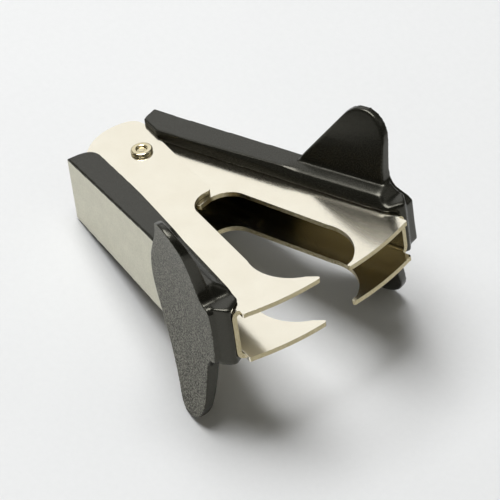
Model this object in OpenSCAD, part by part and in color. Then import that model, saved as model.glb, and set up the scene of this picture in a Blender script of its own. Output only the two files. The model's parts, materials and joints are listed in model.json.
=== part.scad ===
// Staple remover: two nested sheet-steel jaws on a semi-tubular rivet, each with a
// moulded grip that wraps its web and carries two finger wings. A torsion spring on
// the rivet holds the jaws apart. Lies on its side, raised at the fangs by the wings.
// Millimetres. Z is up, X runs from the pivot to the fangs, Y goes towards the inner jaw.

/* [Jaws] */
// half of the angle between the two jaws at rest, degrees
half_open = 10.9; // [9:0.1:12]
// thickness of the jaw sheet
sheet = 0.9; // [0.8:0.05:1.2]
// outside width of the outer jaw's channel
outer_w = 10.4; // [9.6:0.1:11]
// gap on each side between the inner jaw and the outer jaw
side_gap = 0.06; // [0.04:0.01:0.3]
// pivot to the back of the outer jaw's web
outer_web = 10.0; // [9:0.1:11]
// pivot to the back of the inner jaw's web
inner_web = 7.75; // [7:0.05:8.5]
// lean of the inner jaw's web away from its arm edge, degrees
inner_lean = 2.6; // [2:0.1:3]
// pivot to the outer jaw's straight edge beside the pivot
cheek_h = 4.35; // [4:0.05:4.6]
// pivot to the inner jaw's straight edge beside the pivot
inner_cheek_h = 6.6; // [6:0.05:7]
// pivot line to the arm's inner edge
arm_drop = 0.8; // [0.6:0.05:1.4]
// pivot to the fang's front edge
reach = 52.95; // [51:0.05:54]
// pivot line to the outer jaw's fang points
fang_h = 7.05; // [6.6:0.05:7.2]
// pivot line to the inner jaw's fang points
inner_fang_h = 6.75; // [6.5:0.05:7.2]
// pivot to the front end of the web
web_end = 51.1; // [50:0.1:52]
// outer radius of the channel's bends
bend_r = 1.6; // [1.4:0.1:2]

/* [Grips] */
// thickness of the grip over the web
grip_wall = 2.5; // [2:0.1:3]
// width of the margin on the jaw's cheeks, measured from the grip's back
margin_w = 5.35; // [5:0.05:5.6]
// how far the grip starts behind the pivot
grip_tail = 4.8; // [4:0.1:5.5]
// half height of the outer grip at the tail
tail_h = 6.6; // [6.2:0.05:7]
// half height of the outer grip's rail by the wings
rail_h = 8.15; // [7.8:0.05:8.6]
// half height of the outer grip's end block
block_h = 6.0; // [5.8:0.05:6.6]
// half height of the inner grip at the tail
inner_tail_h = 6.3; // [6:0.05:7]
// half height of the inner grip's rail by the wings
inner_rail_h = 6.9; // [6.6:0.05:8]
// half height of the inner grip's end block
inner_block_h = 5.3; // [5:0.05:6]
// lean of the inner grip's back away from the arm edge, degrees
back_lean = 3.5; // [2.6:0.1:4]
// pivot to the inner grip's back
inner_back = 10.45; // [10.3:0.05:10.8]
// lean of the finger wings towards the fangs, degrees
wing_lean = 2; // [0:0.1:3]
// half span of the wings
wing_h = 20.4; // [19:0.1:21]
// half span of the inner grip's wings
inner_wing_h = 19.75; // [19:0.01:21]
// how far the inner grip's wings sit below the middle of its jaw
inner_drop = 0.375; // [0:0.005:0.5]
// how far the outer grip's wing tips curve outwards
flare = 3.4; // [3:0.1:4]
// how far the inner grip's wing tips curve outwards
inner_flare = 2.9; // [2:0.1:4]
// thickness of a wing at its root
wing_t = 2.6; // [2:0.1:2.8]
// thickness of a wing at its tip
wing_tip_t = 1.5; // [1.2:0.1:2]
// radius of the wing tips
tip_r = 4.9; // [4:0.1:5]
// pivot to the front edge of the wings
wing_front = 45.9; // [45:0.1:46.2]

/* [Pivot] */
// radius of the rivet's shank
pin_r = 1.4; // [1.2:0.05:1.6]
// running clearance round the shank in the inner jaw
pin_play = 0.06; // [0.03:0.01:0.09]
// radius of the rivet's heads
head_r = 2.0; // [1.8:0.05:2.2]
// height of the rivet's heads
head_h = 0.7; // [0.6:0.05:0.9]
// wire diameter of the spring
wire = 0.9; // [0.8:0.05:1]
// mean radius of the spring's coils
coil_r = 2.6; // [2.4:0.05:2.8]
// number of coils
coils = 5; // [4:1:5]

/* [Resting pose] */
// how far the fang end is raised by the wings, degrees
tilt = 17.58; // [17:0.01:19]

/* [Hidden] */
Ho = outer_w / 2;
Hi = Ho - sheet - side_gap;
rest_shift = [-20.246, 0.003, 8.431];

function arc(cx, cy, r, a0, a1, n) =
  [for (i = [0:n]) let (a = a0 + (a1 - a0) * i / n) [cx + r * cos(a), cy + r * sin(a)]];

// ---- frames ----
module at_rest() { translate(rest_shift) rotate([0, -tilt, 0]) children(); }
module on_outer() { at_rest() rotate([0, 0, -half_open]) children(); }
module on_inner() { at_rest() rotate([0, 0, half_open]) mirror([0, 1, 0]) children(); }

// ---- steel ----
// side outline of a jaw: x along the jaw, y towards the other jaw. cheek = height beside
// the pivot, tip = height of the fang's point, notch = [centre x, centre y, radius] of the
// notch in front of the pivot, root = x where the arm turns into the fang, far = front edge
module cheek_outline(web, lean, cheek, tip, notch, root, far) {
  corner = 3;
  cu = -sqrt(pow(web - corner, 2) - pow(cheek - corner, 2));
  ca = atan2(cheek - corner, cu);
  lip = notch[0] - notch[2] - 0.8;
  front_r = 48;
  polygon(concat(
    arc(0, 0, web, 270 - lean, ca, 18),
    arc(cu, cheek - corner, corner, ca - 8, 90, 6),
    arc(lip, cheek - 0.8, 0.8, 90, 12, 4),
    arc(notch[0], notch[1], notch[2], 188, 262, 9),
    arc(root, 9.2 - arm_drop, 9.2, 260, 340, 14),
    arc(far - 1.3, tip - 0.3, 0.3, 150, 20, 4),
    arc(far - front_r, -2.5, front_r, 11, -6.4, 8),
    arc(far - 0.65, -8.2, 0.4, -10, -90, 3),
    arc(web_end + 0.4, -8.95, 0.4, 90, 180, 3),
    [[web_end, -9.3], [web_end, -web - (web_end) * tan(lean)]]));
}

// section of the bent sheet, x = distance towards the other jaw, y = height
module bent_section(h, web, r) {
  polygon(concat(
    [[30, h], [30, -h]],
    arc(-web + r, -h + r, r, 270, 180, 6),
    arc(-web + r, h - r, r, 180, 90, 6)));
}

module along_jaw(u0, u1) {
  translate([u0, 0, 0]) rotate([90, 0, 90]) linear_extrude(height = u1 - u0) children();
}

// a channel of outside half width h, cut to the side outline that its children give
module channel(h, web, lean) {
  intersection() {
    translate([0, 0, -h]) linear_extrude(height = 2 * h) children();
    rotate([0, 0, -lean]) difference() {
      along_jaw(-20, 70) bent_section(h, web, bend_r);
      along_jaw(-21, 71) bent_section(h - sheet, web - sheet, bend_r - sheet);
      // the web starts ahead of the pivot
      translate([-20, -20, -h + sheet]) cube([22, 22, 2 * (h - sheet)]);
    }
  }
}

module outer_jaw() {
  color("Gainsboro") on_outer() difference() {
    channel(Ho, outer_web, 0)
      cheek_outline(outer_web, 0, cheek_h, fang_h, [22.2, 3.5, 4.3], 41.5, reach);
    cylinder(h = 40, r = pin_r, center = true, $fn = 48);
  }
}

module inner_jaw() {
  color("Silver") on_inner() difference() {
    channel(Hi, inner_web, inner_lean) cheek_outline(
      inner_web, inner_lean, inner_cheek_h, inner_fang_h, [23.2, 4.35, 4.6], 43.1, reach + 0.4);
    cylinder(h = 40, r = pin_r + pin_play, center = true, $fn = 48);
  }
}

// ---- grips ----
// plan of a grip: x along the spine, y = 0 at its back
module grip_plan(trim) {
  c = 2.9;
  m = margin_w;
  difference() {
    polygon(concat(
      [[-grip_tail, 0]],
      arc(-grip_tail + c, m - c, c, 180, 90, 6),
      arc(48.6, m - 1.4, 1.2, 88, 24, 4),
      [[51.0, 2.6], [51.3, 2.3], [50.9, 1.6], [49.3, 0]]));
    // the tail is cut back where the other jaw's cheek stops against it
    if (trim > 0)
      translate([0, trim]) rotate([0, 0, 2 * half_open + back_lean])
        translate([-30, -cheek_h - 0.04]) square([60, 30]);
  }
}

// height outline of a grip: x along the spine, y up
module grip_side(tail, rail, block, stop) {
  h = [[-grip_tail, tail], [26, rail], [stop, rail], [stop + 1.4, block], [52, block]];
  polygon([for (p = h) p, for (i = [4:-1:0]) [h[i][0], -h[i][1]]]);
}

// one half of the wing outline, x along the spine, y up
module wing_side(span, nose, shoulder) {
  c = [wing_front - tip_r, span - tip_r];
  polygon(concat(
    [[25.8, 0], [26.1, 2.3], [26.8, 4.5], [27.9, 6.6], [29.4, 8.8]],
    arc(c[0], c[1], tip_r, 138, 2, 12),
    [[wing_front + 0.1, 9.5], [wing_front + 0.25, 7.9], [wing_front + 0.9, 6.5],
     [wing_front + 1.6, 6.0], [nose - 0.8, shoulder + 0.7], [nose, shoulder], [nose, 0]]));
}

module across(v0, v1) {
  translate([0, v1, 0]) rotate([90, 0, 0]) linear_extrude(height = v1 - v0) children();
}

// a grip with its back at y = 0, opening towards +y. web = back of the jaw's web at
// the pivot, turn = lean of that web against the grip's back, h = its half height,
// hs = the grip's half heights and where its rail stops, drop = how low its wings sit
module grip(h, web, turn, hs, trim, span, drop, curve, nose, shoulder) {
  // radii of the wings' hollow face and of the face towards the jaws
  wing_R = (curve * curve + span * span) / (2 * curve);
  near_R = 1 / (1 / wing_R + 2 * (wing_t - wing_tip_t) / (span * span));
  difference() {
    union() {
      difference() {
        intersection() {
          translate([0, 0, -12]) linear_extrude(height = 24) grip_plan(trim);
          across(-1, 12) grip_side(hs[0], hs[1], hs[2], hs[3]);
        }
        // draft on the walls that stand on the cheeks
        for (k = [0, 1]) mirror([0, 0, k])
          translate([-grip_tail, margin_w, hs[1]]) rotate([0, 0, -1.5]) rotate([26.5, 0, 0])
            translate([-10, 0, -20]) cube([80, 10, 40]);
      }
      // the wings are a leaning shell that is hollow on the outside
      translate([0, 0, -drop]) intersection() {
        across(-8, 4) for (k = [0, 1]) mirror([0, k]) wing_side(span, nose, shoulder);
        translate([26, 0, 0]) rotate([0, 0, -wing_lean]) translate([-26, 0, 0])
          difference() {
            translate([0, wing_t - near_R, 0]) rotate([0, 90, 0])
              cylinder(h = 60, r = near_R, $fn = 240);
            translate([-1, -wing_R, 0]) rotate([0, 90, 0])
              cylinder(h = 62, r = wing_R, $fn = 240);
          }
      }
    }
    translate([0, web, 0]) rotate([0, 0, turn]) along_jaw(-20, 70) bent_section(h, 0, bend_r);
  }
}

module outer_grip() {
  color([0.2, 0.2, 0.19]) on_outer() translate([0, -outer_web - grip_wall, 0])
    grip(Ho, grip_wall, 0, [tail_h, rail_h, block_h, 45.6], 0, wing_h, 0, flare, 49.3, 5.2);
}

module inner_grip() {
  w = inner_back - inner_web / cos(inner_lean);
  color([0.2, 0.2, 0.19]) on_inner() rotate([0, 0, -back_lean])
    translate([0, -inner_back, 0])
      grip(Hi, w, back_lean - inner_lean, [inner_tail_h, inner_rail_h, inner_block_h, 47.1],
        inner_back, inner_wing_h, inner_drop, inner_flare, 50.6, 4.2);
}

// ---- pivot ----
module pivot_rivet() {
  color("LightSteelBlue") at_rest() difference() {
    union() {
      cylinder(h = 2 * Ho, r = pin_r, center = true, $fn = 48);
      // rolled end above
      translate([0, 0, Ho]) cylinder(h = head_h - 0.25, r = head_r, $fn = 48);
      translate([0, 0, Ho + head_h - 0.25]) cylinder(h = 0.25, r1 = head_r, r2 = head_r - 0.35, $fn = 48);
      // made head below
      translate([0, 0, -Ho - head_h + 0.25]) cylinder(h = head_h - 0.25, r = head_r, $fn = 48);
      translate([0, 0, -Ho - head_h]) cylinder(h = 0.25, r1 = head_r - 0.5, r2 = head_r, $fn = 48);
    }
    // hollow of the tubular end
    translate([0, 0, Ho + head_h - 0.45]) cylinder(h = 1, r = 0.85, $fn = 48);
  }
}

module leg(a, b, z) {
  d = b - a;
  translate([a[0], a[1], z]) rotate([0, 90, atan2(d[1], d[0])]) cylinder(h = norm(d), d = wire, $fn = 20);
}

module torsion_spring() {
  top = (coils - 1) * (wire + 0.08) / 2;
  color("DimGray") {
    at_rest() for (i = [0:coils - 1]) translate([0, 0, -top + i * (wire + 0.08)])
      rotate_extrude($fn = 48) translate([coil_r, 0]) circle(d = wire, $fn = 16);
    // the coils touch through short bridges
    at_rest() for (a = [40, 160, 280]) rotate([0, 0, a]) translate([coil_r, 0, -top])
      cylinder(h = 2 * top, d = 0.5, $fn = 16);
    on_outer() leg([0.3, -coil_r], [19, -outer_web + sheet + wire / 2 + 0.05], -top);
    on_inner() leg([0.3, -coil_r],
      [19, -inner_web + sheet + wire / 2 + 0.1 - 19 * tan(inner_lean)], top);
  }
}

outer_jaw();
inner_jaw();
outer_grip();
inner_grip();
pivot_rivet();
torsion_spring();
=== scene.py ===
import json
import math

import bmesh
import bpy
import numpy as np
from mathutils import Matrix, Vector


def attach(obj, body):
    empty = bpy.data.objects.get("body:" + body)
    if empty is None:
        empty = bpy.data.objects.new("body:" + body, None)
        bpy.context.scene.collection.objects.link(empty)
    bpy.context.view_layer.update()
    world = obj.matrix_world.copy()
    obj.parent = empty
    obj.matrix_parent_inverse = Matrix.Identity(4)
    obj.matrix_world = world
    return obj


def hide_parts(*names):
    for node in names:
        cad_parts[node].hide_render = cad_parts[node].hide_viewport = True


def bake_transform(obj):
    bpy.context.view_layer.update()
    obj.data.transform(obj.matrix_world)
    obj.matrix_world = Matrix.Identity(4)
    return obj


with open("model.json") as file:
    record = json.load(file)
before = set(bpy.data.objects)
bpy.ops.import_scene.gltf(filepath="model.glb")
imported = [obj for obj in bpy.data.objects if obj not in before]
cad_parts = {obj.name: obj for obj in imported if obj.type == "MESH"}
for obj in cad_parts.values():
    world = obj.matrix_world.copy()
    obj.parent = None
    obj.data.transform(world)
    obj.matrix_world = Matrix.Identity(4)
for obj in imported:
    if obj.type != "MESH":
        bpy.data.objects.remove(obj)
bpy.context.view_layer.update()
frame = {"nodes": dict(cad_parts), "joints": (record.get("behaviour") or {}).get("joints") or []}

# ---- sizes, in millimetres unless a name says otherwise ----
MM = 0.001
HALF_OPEN = math.radians(10.9)   # half of the angle between the jaws at rest
SHEET = 0.9                      # thickness of the jaw sheet
EDGE = 0.26                      # rounding of the sheared sheet edges
CHEEK = 5.2                      # half width of the outer jaw, across the cheeks
INNER_CHEEK = CHEEK - SHEET - 0.06
OUTER_WEB = 10.0                 # from the pivot to the back of the outer jaw's web
INNER_WEB = 7.75                 # the same for the inner jaw
OUTER_GRIP = 12.5                # from the pivot to the outer grip's back
INNER_GRIP = 10.45               # the same for the inner grip
INNER_LEAN = math.radians(3.5)   # lean of the inner grip's back against its jaw
OUTER_RAIL = 8.15                # half height of the outer grip's rail beside the wings
INNER_RAIL = 6.9                 # the same for the inner grip
WING_ROOT = 25.8                 # from the pivot to the start of the wings, along the back
WING_FACE = 2.4                  # from the back to the wings' face towards the jaws, at the rail
NOSE_START = 44.8                # from the pivot to the nose ahead of the wings

# ---- the grips' rounded meshes ----
VOXEL = 0.17                     # size of the grid in millimetres
SMOOTH_PASSES = 16               # for every edge of the moulding
ROUND_PASSES = 90                # for the places that are rounder
GRIP_TRIANGLES = 90000           # most triangles kept on one grip

joint = frame["joints"][0]
PIVOT = Vector(joint["pos_m"])
UP = -Vector(joint["axis"]).normalized()      # along the rivet, towards its rolled end
SIDE = Vector((0.0, 1.0, 0.0))
ALONG = SIDE.cross(UP)                        # from the pivot to the fangs


def jaw_frame(side):
    """Matrix from a jaw's own millimetres to the row frame: x along the jaw, y towards the
    other jaw, z along the rivet. side is 1 for the outer jaw and -1 for the inner one."""
    u = ALONG * math.cos(HALF_OPEN) - SIDE * side * math.sin(HALF_OPEN)
    v = ALONG * math.sin(HALF_OPEN) + SIDE * side * math.cos(HALF_OPEN)
    turn = Matrix((u, v, UP)).transposed().to_4x4()
    return Matrix.Translation(PIVOT) @ turn @ Matrix.Scale(MM, 4)


OUTER = jaw_frame(1)
INNER = jaw_frame(-1)
# each grip's own frame lies along its back
OUTER_BACK = OUTER @ Matrix.Translation((0, -OUTER_GRIP, 0))
INNER_BACK = INNER @ Matrix.Rotation(-INNER_LEAN, 4, "Z") @ Matrix.Translation((0, -INNER_GRIP, 0))
# the jaws and the rivet are worked on in a frame halfway between the jaws
MID = Matrix.Translation(PIVOT) @ Matrix((ALONG, SIDE, UP)).transposed().to_4x4() @ Matrix.Scale(MM, 4)


# ---- mesh helpers ----
def moved(mesh, matrix):
    """Moves a mesh, and turns its faces over where the matrix mirrors them."""
    mesh.transform(matrix)
    if matrix.determinant() < 0:
        mesh.flip_normals()


def new_object(name, mesh):
    obj = bpy.data.objects.new(name, mesh)
    bpy.context.scene.collection.objects.link(obj)
    return obj


def node_copy(name, node, matrix):
    """A copy of a CAD node as one clean closed mesh, in its own millimetres."""
    mesh = frame["nodes"][node].data.copy()
    mesh.materials.clear()
    moved(mesh, matrix.inverted())
    bm = bmesh.new()
    bm.from_mesh(mesh)
    bmesh.ops.remove_doubles(bm, verts=bm.verts, dist=0.002)
    bmesh.ops.dissolve_degenerate(bm, edges=bm.edges, dist=0.001)
    bm.to_mesh(mesh)
    bm.free()
    return new_object(name, mesh)


def apply_modifiers(obj):
    graph = bpy.context.evaluated_depsgraph_get()
    done = bpy.data.meshes.new_from_object(obj.evaluated_get(graph))
    old = obj.data
    obj.modifiers.clear()
    obj.data = done
    bpy.data.meshes.remove(old)


def smooth_shading(mesh, degrees):
    mesh.polygons.foreach_set("use_smooth", [True] * len(mesh.polygons))
    mesh.set_sharp_from_angle(angle=math.radians(degrees))


def place(obj, matrix, body, node):
    """Moves a finished piece into the row frame, ties it to its body and hides the CAD node it stands
    in for.
    """
    moved(obj.data, matrix)
    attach(obj, body)
    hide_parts(node)


def store_vectors(mesh, name, values):
    layer = mesh.attributes.new(name, "FLOAT_VECTOR", "POINT")
    layer.data.foreach_set("vector", np.asarray(values, np.float32).ravel())


def store_floats(mesh, name, values, domain="POINT"):
    layer = mesh.attributes.new(name, "FLOAT", domain)
    layer.data.foreach_set("value", np.asarray(values, np.float32))


def vertex_arrays(mesh):
    """Positions and normals of a mesh's vertices."""
    co = np.zeros(len(mesh.vertices) * 3, np.float32)
    mesh.vertices.foreach_get("co", co)
    no = np.zeros(len(mesh.vertices) * 3, np.float32)
    mesh.vertex_normals.foreach_get("vector", no)
    return co.reshape(-1, 3), no.reshape(-1, 3)


# ---- shader helpers ----
class Shader:
    """A material and short calls that add nodes to it."""

    def __init__(self, name, **sockets):
        self.material = bpy.data.materials.new(name)
        self.material.use_nodes = True
        self.tree = self.material.node_tree
        self.surface = self.tree.nodes["Principled BSDF"]
        for key, value in sockets.items():
            self.surface.inputs[key.replace("_", " ")].default_value = value

    def add(self, kind, inputs=None, out=0, **settings):
        made = self.tree.nodes.new(kind)
        for key, value in settings.items():
            setattr(made, key, value)
        for key, value in (inputs or {}).items():
            if isinstance(value, bpy.types.NodeSocket):
                self.tree.links.new(value, made.inputs[key])
            else:
                made.inputs[key].default_value = value
        return made.outputs[out]

    def set(self, key, socket):
        self.tree.links.new(socket, self.surface.inputs[key])

    def math(self, operation, a, b):
        return self.add("ShaderNodeMath", {0: a, 1: b}, operation=operation)

    def step(self, value, low, high):
        """0 below low, 1 above high, and smooth between."""
        return self.add("ShaderNodeMapRange", {0: value, 1: low, 2: high},
                        interpolation_type="SMOOTHSTEP")

    def range(self, value, low, high, to_low, to_high):
        return self.add("ShaderNodeMapRange", {0: value, 1: low, 2: high, 3: to_low, 4: to_high})

    def mix(self, factor, a, b):
        """Mix of two colours."""
        return self.add("ShaderNodeMix", {0: factor, 6: a, 7: b}, out=2, data_type="RGBA")

    def blend_values(self, factor, a, b):
        return self.add("ShaderNodeMix", {0: factor, 2: a, 3: b}, data_type="FLOAT")

    def noise(self, where, scale, detail, roughness=0.5):
        return self.add("ShaderNodeTexNoise", {"Vector": where, "Scale": scale, "Detail": detail,
                                               "Roughness": roughness})

    def millimetres(self):
        """The object's own coordinates in millimetres."""
        own = self.add("ShaderNodeTexCoord", out=3)
        return self.add("ShaderNodeVectorMath", {0: own, 3: 1.0 / MM}, operation="SCALE")

    def bump(self, height, strength, depth_mm, normal=None):
        inputs = {"Height": height, "Strength": strength, "Distance": depth_mm * MM}
        if normal:
            inputs["Normal"] = normal
        return self.add("ShaderNodeBump", inputs)


def rgb(r, g, b):
    return (r, g, b, 1.0)


# ---- materials ----
def steel(name, light, dark, roughness, spread, pressed=False):
    """Plated metal: fine rolling marks and faint clouding. On a pressed sheet the web's inner face is
    painted darker and olive as shade inside the channel, and the cut edges are darker and rougher."""
    s = Shader(name, Metallic=1.0)
    where = s.millimetres()
    clouds = s.noise(where, 0.22, 3.0)
    fine = s.noise(where, 3.4, 3.0, 0.5)
    drawn = s.add("ShaderNodeMapping", {"Vector": where, "Scale": (0.6, 9.0, 9.0)})
    marks = s.noise(drawn, 1.0, 3.0)
    colour = s.mix(s.range(clouds, 0.3, 0.7, 0.0, 1.0), light, dark)
    rough = s.range(s.math("ADD", s.math("MULTIPLY", fine, 0.7), s.math("MULTIPLY", marks, 0.3)),
                    0.3, 0.7, roughness - spread, roughness + spread)
    if pressed:
        painted_inside_shade = s.add("ShaderNodeAttribute", out=2, attribute_name="painted_inside_shade")
        cut = s.add("ShaderNodeAttribute", out=2, attribute_name="cut_edge")
        sheared = s.mix(s.step(marks, 0.35, 0.65), rgb(0.34, 0.28, 0.14), rgb(0.66, 0.59, 0.41))
        # painted shade: the web's inner face inside the channel is darkened towards olive
        colour = s.mix(painted_inside_shade, colour, rgb(0.40, 0.34, 0.20))
        colour = s.mix(cut, colour, sheared)
        rough = s.blend_values(cut, rough, 0.33)
    s.set("Base Color", colour)
    s.set("Roughness", rough)
    s.set("Normal", s.bump(marks, 0.12, 0.01, s.bump(fine, 0.5, 0.012)))
    return s.material


def grip_plastic(name):
    """Moulded black plastic. The concave pad is grained and the flat back is pale satin."""
    s = Shader(name, IOR=1.58, Specular_Tint=rgb(1.0, 0.965, 0.80))
    local = s.add("ShaderNodeAttribute", out=1, attribute_name="own_mm")
    facing = s.add("ShaderNodeAttribute", out=2, attribute_name="faces_out")
    axes = s.tree.nodes.new("ShaderNodeSeparateXYZ")
    s.tree.links.new(local, axes.inputs[0])
    along, across = axes.outputs[0], axes.outputs[2]
    # the pad starts at a shallow curve across the back, and runs straight out beyond the rails
    bend = 0.0465
    widest = 70.0                # square of the height where the curve ends
    blur = 0.10
    squared = s.math("MINIMUM", s.math("MULTIPLY", across, across), widest)
    root = s.math("ADD", s.math("MULTIPLY", squared, bend), WING_ROOT)
    beyond = s.step(s.math("SUBTRACT", along, root), -blur, blur)
    pad = s.math("MULTIPLY", beyond, s.step(facing, 0.82, 0.92))
    back = s.math("MULTIPLY", s.math("SUBTRACT", 1.0, beyond), s.step(facing, 0.93, 0.985))

    grain = s.noise(local, 3.6, 4.0, 0.6)
    pebbles = s.add("ShaderNodeTexVoronoi", {"Vector": local, "Scale": 2.6})
    speckle = s.math("MULTIPLY", s.step(grain, 0.42, 0.60), s.range(pebbles, 0.0, 0.5, 0.45, 1.0))
    cloud = s.noise(local, 0.35, 3.0)
    mottle = s.noise(local, 2.4, 4.0, 0.7)
    sheen = s.noise(local, 9.0, 3.0, 0.65)

    black = s.mix(cloud, rgb(0.004, 0.004, 0.003), rgb(0.009, 0.009, 0.007))
    padded = s.mix(speckle, rgb(0.014, 0.014, 0.011), rgb(0.24, 0.235, 0.195))
    pale = s.mix(s.math("ADD", s.math("MULTIPLY", cloud, 0.3), s.math("MULTIPLY", mottle, 0.7)),
                 rgb(0.40, 0.39, 0.325), rgb(0.92, 0.90, 0.765))
    s.set("Base Color", s.mix(back, s.mix(pad, black, padded), pale))
    gloss = s.range(sheen, 0.3, 0.7, 0.22, 0.30)
    s.set("Roughness", s.blend_values(back, s.blend_values(pad, gloss, 0.55), 0.42))
    s.set("Metallic", s.math("MULTIPLY", back, 0.35))
    lift = s.math("ADD", s.math("MULTIPLY", s.math("ADD", grain, pebbles), pad),
                  s.math("MULTIPLY", sheen, 0.06))
    s.set("Normal", s.bump(lift, 0.75, 0.10))
    return s.material


def floor_material():
    s = Shader("floor_paper", Roughness=0.75)
    where = s.millimetres()
    mottle = s.noise(where, 0.8, 4.0, 0.7)
    broad = s.noise(where, 0.02, 2.0)
    tone = s.math("ADD", s.math("MULTIPLY", mottle, 0.6), s.math("MULTIPLY", broad, 0.4))
    s.set("Base Color", s.mix(tone, rgb(0.72, 0.725, 0.72), rgb(0.80, 0.805, 0.80)))
    return s.material


NICKEL = steel("nickel_plated_steel", rgb(0.93, 0.875, 0.73), rgb(0.90, 0.84, 0.69), 0.15, 0.06, True)
RIVET = steel("rivet_plated_steel", rgb(0.86, 0.77, 0.54), rgb(0.62, 0.53, 0.32), 0.13, 0.05)
WIRE = steel("dark_spring_wire", rgb(0.34, 0.32, 0.29), rgb(0.24, 0.22, 0.19), 0.30, 0.08)
PLASTIC = grip_plastic("moulded_black_plastic")


# ---- jaws ----
def face_arrays(mesh):
    """Centres and normals of a mesh's faces."""
    arrays = []
    for key in ("center", "normal"):
        values = np.zeros(len(mesh.polygons) * 3, np.float32)
        mesh.polygons.foreach_get(key, values)
        arrays.append(values.reshape(-1, 3))
    return arrays


def mark_painted_shade_and_cut_edges(mesh, side, half, web):
    """Marks the web's inner face, which gets painted shade, and the sheet's cut edges. half and web
    are the channel's half width and the distance from the pivot to its back."""
    bend = 2.0                   # depth of the bent corner, which has no cut edge
    centres, normals = face_arrays(mesh)
    across = np.array([math.sin(HALF_OPEN), side * math.cos(HALF_OPEN), 0.0])
    along = np.array([math.cos(HALF_OPEN), -side * math.sin(HALF_OPEN), 0.0])
    in_cheek = np.abs(centres[:, 2]) > half - SHEET - 0.02
    upright = np.abs(normals[:, 2]) < 0.8
    front = normals @ along > 0.7
    cut = upright & ((in_cheek & (centres @ across > bend - web)) | front)
    # the web's inner face, where the steel paints shade
    painted_inside_shade = (normals @ across > 0.4) & ~in_cheek & ~cut
    store_floats(mesh, "painted_inside_shade", painted_inside_shade, "FACE")
    store_floats(mesh, "cut_edge", cut, "FACE")


def jaw(name, node, body, side, half, web):
    """The CAD jaw with the edges of its sheet rounded as shearing and plating leave them."""
    obj = node_copy(name, node, MID)
    bm = bmesh.new()
    bm.from_mesh(obj.data)
    bmesh.ops.dissolve_limit(bm, angle_limit=math.radians(0.6), verts=bm.verts, edges=bm.edges)
    bm.to_mesh(obj.data)
    bm.free()
    smooth_shading(obj.data, 180)
    bevel = obj.modifiers.new("edges", "BEVEL")
    bevel.width = EDGE
    bevel.segments = 3
    bevel.limit_method = "ANGLE"
    bevel.angle_limit = math.radians(38)
    bevel.use_clamp_overlap = True
    flat = obj.modifiers.new("flat", "WEIGHTED_NORMAL")
    flat.weight = 100
    apply_modifiers(obj)
    mark_painted_shade_and_cut_edges(obj.data, side, half, web)
    obj.data.materials.append(NICKEL)
    place(obj, MID, body, node)


jaw("outer_jaw_steel", "outer_jaw", "outer", 1, CHEEK, OUTER_WEB)
jaw("inner_jaw_steel", "inner_jaw", "inner", -1, INNER_CHEEK, INNER_WEB)


# ---- grips ----
def ramp(values, low, high):
    """0 below low, 1 above high."""
    return np.clip((values - low) / (high - low), 0.0, 1.0)


def slope_rail(obj, rail, slope):
    """The rail's top falls towards the jaws beside the wings, by slope degrees."""
    co, _ = vertex_arrays(obj.data)
    along, out, height = co[:, 0], co[:, 1], np.abs(co[:, 2])
    beside = ramp(along, WING_ROOT + 1.2, WING_ROOT + 3.7)
    near_top = ramp(height, rail - 1.4, rail - 0.2) * (height < rail + 0.1)
    past_wing = np.maximum(out - WING_FACE, 0.0)
    co[:, 2] -= np.sign(co[:, 2]) * beside * near_top * past_wing * math.tan(math.radians(slope))
    obj.data.vertices.foreach_set("co", co.ravel())
    obj.data.update()


def round_more(obj, rail):
    """Vertex group of the places that the moulding rounds most: the rail beside the wings
    and the nose ahead of them."""
    levels = 10
    nose_share = 0.8
    co, _ = vertex_arrays(obj.data)
    along, out, height = co[:, 0], co[:, 1], np.abs(co[:, 2])
    ridge = ramp(along, WING_ROOT + 1.2, WING_ROOT + 4.2) * ramp(out, WING_FACE + 0.7, WING_FACE + 1.3)
    ridge = ridge * ramp(height, rail - 2.2, rail - 1.4)
    nose = ramp(along, NOSE_START, NOSE_START + 1.8) * ramp(out, 1.2, 2.2) * ramp(height, 2.8, 4.0)
    weights = np.round(np.maximum(ridge, nose_share * nose) * levels).astype(int)
    group = obj.vertex_groups.new(name="round")
    for level in range(1, levels + 1):
        group.add(np.nonzero(weights == level)[0].tolist(), level / levels, "REPLACE")


def add_smoothing(obj, name, passes):
    smooth = obj.modifiers.new(name, "SMOOTH")
    smooth.factor = 0.5
    smooth.iterations = passes
    return smooth


def grip(name, node, matrix, body, rail, slope):
    """The CAD grip with the soft edges of a moulding. rail is the half height of its rail
    beside the wings, and slope is how far that rail's top falls, in degrees."""
    obj = node_copy(name, node, matrix)
    remesh = obj.modifiers.new("grid", "REMESH")
    remesh.mode = "VOXEL"
    remesh.voxel_size = VOXEL
    apply_modifiers(obj)
    slope_rail(obj, rail, slope)
    round_more(obj, rail)
    add_smoothing(obj, "round", ROUND_PASSES).vertex_group = "round"
    add_smoothing(obj, "soften", SMOOTH_PASSES)
    apply_modifiers(obj)
    triangles = 2 * len(obj.data.polygons)
    if triangles > GRIP_TRIANGLES:
        thin = obj.modifiers.new("thin", "DECIMATE")
        thin.ratio = GRIP_TRIANGLES / triangles
        apply_modifiers(obj)
    smooth_shading(obj.data, 60)
    co, normals = vertex_arrays(obj.data)
    store_vectors(obj.data, "own_mm", co)
    store_floats(obj.data, "faces_out", -normals[:, 1])
    obj.vertex_groups.clear()
    obj.data.materials.append(PLASTIC)
    place(obj, matrix, body, node)


grip("outer_grip_moulding", "outer_grip", OUTER_BACK, "outer", OUTER_RAIL, 24)
grip("inner_grip_moulding", "inner_grip", INNER_BACK, "inner", INNER_RAIL, 6)


# ---- rivet ----
def arc(cx, cz, r, start, end, steps):
    angles = [math.radians(start + (end - start) * i / steps) for i in range(steps + 1)]
    return [(cx + r * math.cos(a), cz + r * math.sin(a)) for a in angles]


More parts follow.
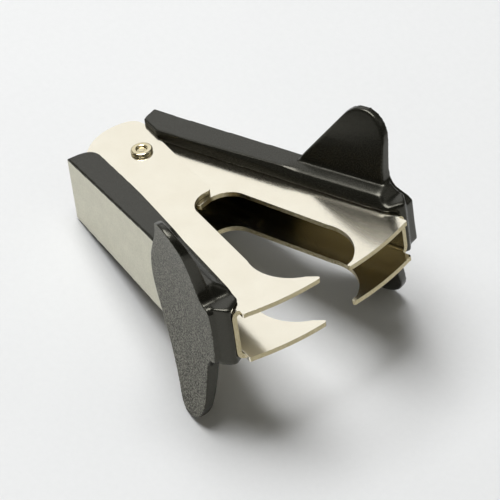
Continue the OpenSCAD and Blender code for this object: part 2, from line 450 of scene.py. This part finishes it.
def lathe(name, profile, segments):
    """Closed solid turned about z. profile runs from the axis below to the axis above."""
    bm = bmesh.new()
    rings = []
    for r, z in profile:
        if r == 0:
            rings.append([bm.verts.new((0, 0, z))])
            continue
        turns = [2 * math.pi * i / segments for i in range(segments)]
        rings.append([bm.verts.new((r * math.cos(a), r * math.sin(a), z)) for a in turns])
    for low, high in zip(rings, rings[1:]):
        for i in range(segments):
            j = (i + 1) % segments
            corners = [low[i % len(low)], low[j % len(low)], high[j % len(high)], high[i % len(high)]]
            bm.faces.new(list(dict.fromkeys(corners)))
    bmesh.ops.recalc_face_normals(bm, faces=bm.faces)
    mesh = bpy.data.meshes.new(name)
    bm.to_mesh(mesh)
    bm.free()
    return new_object(name, mesh)


def pivot_rivet():
    head = 2.0
    shank = 1.4
    top = CHEEK + 0.7
    roll = 0.34
    # domed head below, shank, rolled collar above with its funnel and hollow
    profile = [(0, -CHEEK - 0.68), (0.7, -CHEEK - 0.66), (1.25, -CHEEK - 0.58)]
    profile += arc(head - 0.3, -CHEEK - 0.3, 0.3, -60, 0, 5)
    profile += [(head, -CHEEK - 0.05), (head - 0.04, -CHEEK), (shank, -CHEEK), (shank, CHEEK)]
    profile += [(head - 0.05, CHEEK), (head, CHEEK + 0.08)]
    profile += arc(head - roll, top - roll, roll, 0, 90, 7)
    profile += arc(0.85 + roll, top - roll, roll, 90, 180, 7)
    profile += [(0.80, top - 0.40), (0.55, top - 0.43), (0.48, top - 0.36), (0, top - 0.34)]
    obj = lathe("pivot_rivet_tubular", profile, 96)
    smooth_shading(obj.data, 35)
    obj.data.materials.append(RIVET)
    place(obj, MID, "outer", "pivot_rivet")


pivot_rivet()


# ---- spring ----
def swept_tube(name, path, radius, sides):
    """A round wire along a list of points, with closed ends."""
    bm = bmesh.new()
    points = [Vector(p) for p in path]
    normal = Vector((0, 0, 1))
    rings = []
    for i, p in enumerate(points):
        ahead = points[min(i + 1, len(points) - 1)] - points[max(i - 1, 0)]
        ahead.normalize()
        normal = (normal - ahead * normal.dot(ahead)).normalized()
        other = ahead.cross(normal)
        turns = [2 * math.pi * k / sides for k in range(sides)]
        rings.append([bm.verts.new(p + (normal * math.cos(a) + other * math.sin(a)) * radius)
                      for a in turns])
    for low, high in zip(rings, rings[1:]):
        for k in range(sides):
            m = (k + 1) % sides
            bm.faces.new([low[k], low[m], high[m], high[k]])
    bm.faces.new(rings[0])
    bm.faces.new(rings[-1])
    bmesh.ops.recalc_face_normals(bm, faces=bm.faces)
    mesh = bpy.data.meshes.new(name)
    bm.to_mesh(mesh)
    bm.free()
    return new_object(name, mesh)


def torsion_spring():
    coil = 2.6
    wire = 0.43
    level = 1.96                  # height of each leg above or below the middle
    turns = 5
    outer_end = Vector((19.0, -8.6, 0))
    inner_end = Vector((19.0, -7.16, 0))

    def leaving(end):
        """Angle in its jaw's frame where the leg meets the coil without a kink."""
        return math.atan2(end.y, end.x) - math.acos(coil / end.length)

    start = leaving(outer_end) - HALF_OPEN
    finish = HALF_OPEN - leaving(inner_end) - 2 * math.pi * turns
    to_mid = MID.inverted()
    outer_leg = to_mid @ OUTER @ outer_end
    inner_leg = to_mid @ INNER @ inner_end
    first = Vector((coil * math.cos(start), coil * math.sin(start), 0))
    last = Vector((coil * math.cos(finish), coil * math.sin(finish), 0))
    legs = 24
    path = [outer_leg.lerp(first, i / legs) + Vector((0, 0, -level)) for i in range(legs)]
    steps = 48 * turns
    for i in range(steps + 1):
        a = start + (finish - start) * i / steps
        path.append(Vector((coil * math.cos(a), coil * math.sin(a), -level + 2 * level * i / steps)))
    path += [last.lerp(inner_leg, i / legs) + Vector((0, 0, level)) for i in range(1, legs + 1)]
    obj = swept_tube("torsion_spring_wire", path, wire, 14)
    smooth_shading(obj.data, 40)
    obj.data.materials.append(WIRE)
    moved(obj.data, MID)
    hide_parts("torsion_spring")
    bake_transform(obj)


torsion_spring()


# ---- floor, light and camera ----
def floor():
    bpy.ops.mesh.primitive_plane_add(size=4.0, location=(0, 0, 0))
    obj = bpy.context.object
    obj.name = "floor"
    obj.data.materials.append(floor_material())


def softbox(name, azimuth, elevation, distance, width, height, radiance, colour):
    """A rectangular light aimed at the object. azimuth is measured from +X towards +Y, in
    degrees, and the sizes and the distance are in metres."""
    a, e = math.radians(azimuth), math.radians(elevation)
    away = Vector((math.cos(a) * math.cos(e), math.sin(a) * math.cos(e), math.sin(e)))
    lamp = bpy.data.lights.new(name, "AREA")
    lamp.shape = "RECTANGLE"
    lamp.size = width
    lamp.size_y = height
    lamp.energy = radiance * math.pi * width * height
    lamp.color = colour
    obj = bpy.data.objects.new(name, lamp)
    obj.location = away * distance
    obj.rotation_euler = away.to_track_quat("Z", "Y").to_euler()
    bpy.context.scene.collection.objects.link(obj)


def world_light(above, horizon):
    """A dim ceiling and a less dim wall along the horizon, which the metal mirrors. above and
    horizon are their radiances."""
    wall_top, ceiling_edge = 0.30, 0.85      # as sines of the elevation
    world = bpy.data.worlds.new("studio")
    world.use_nodes = True
    tree = world.node_tree
    where = tree.nodes.new("ShaderNodeTexCoord")
    axes = tree.nodes.new("ShaderNodeSeparateXYZ")
    band = tree.nodes.new("ShaderNodeMapRange")
    background = tree.nodes["Background"]
    tree.links.new(where.outputs["Generated"], axes.inputs[0])
    tree.links.new(axes.outputs[2], band.inputs[0])
    band.interpolation_type = "SMOOTHSTEP"
    for socket, value in ((1, wall_top), (2, ceiling_edge), (3, horizon), (4, above)):
        band.inputs[socket].default_value = value
    tree.links.new(band.outputs[0], background.inputs["Strength"])
    background.inputs["Color"].default_value = rgb(1.0, 0.975, 0.84)
    bpy.context.scene.world = world


floor()
world_light(0.05, 0.11)
softbox("window", 150, 22, 1.0, 0.60, 0.44, 0.88, (1.0, 1.015, 1.05))
softbox("overhead", 186, 66, 1.3, 0.85, 0.85, 8.8, (1.0, 1.005, 1.02))
# weak white cards that the steel mirrors in the other views
for name, azimuth, elevation, width, height, radiance in (
        ("card_back", 196, 27, 0.45, 0.30, 0.50),
        ("card_above", 95, 66, 0.50, 0.40, 0.42),
        ("card_left", 62, 42, 0.45, 0.40, 0.44),
        ("card_right", -71, 50, 0.45, 0.40, 0.36)):
    softbox(name, azimuth, elevation, 1.0, width, height, radiance, (1.0, 1.0, 1.0))

# the camera was fitted to the photograph's view
camera = bpy.data.cameras.new("camera")
camera.lens = 360.08
camera.sensor_width = 36.0
camera.clip_start = 0.05
camera.clip_end = 20.0
camera_object = bpy.data.objects.new("camera", camera)
camera_object.location = (0.398453, -0.401987, 0.686505)
camera_object.rotation_euler = (0.691524, -0.080033, 0.867330)
bpy.context.scene.collection.objects.link(camera_object)
bpy.context.scene.camera = camera_object
bpy.context.scene.view_settings.view_transform = "Standard"
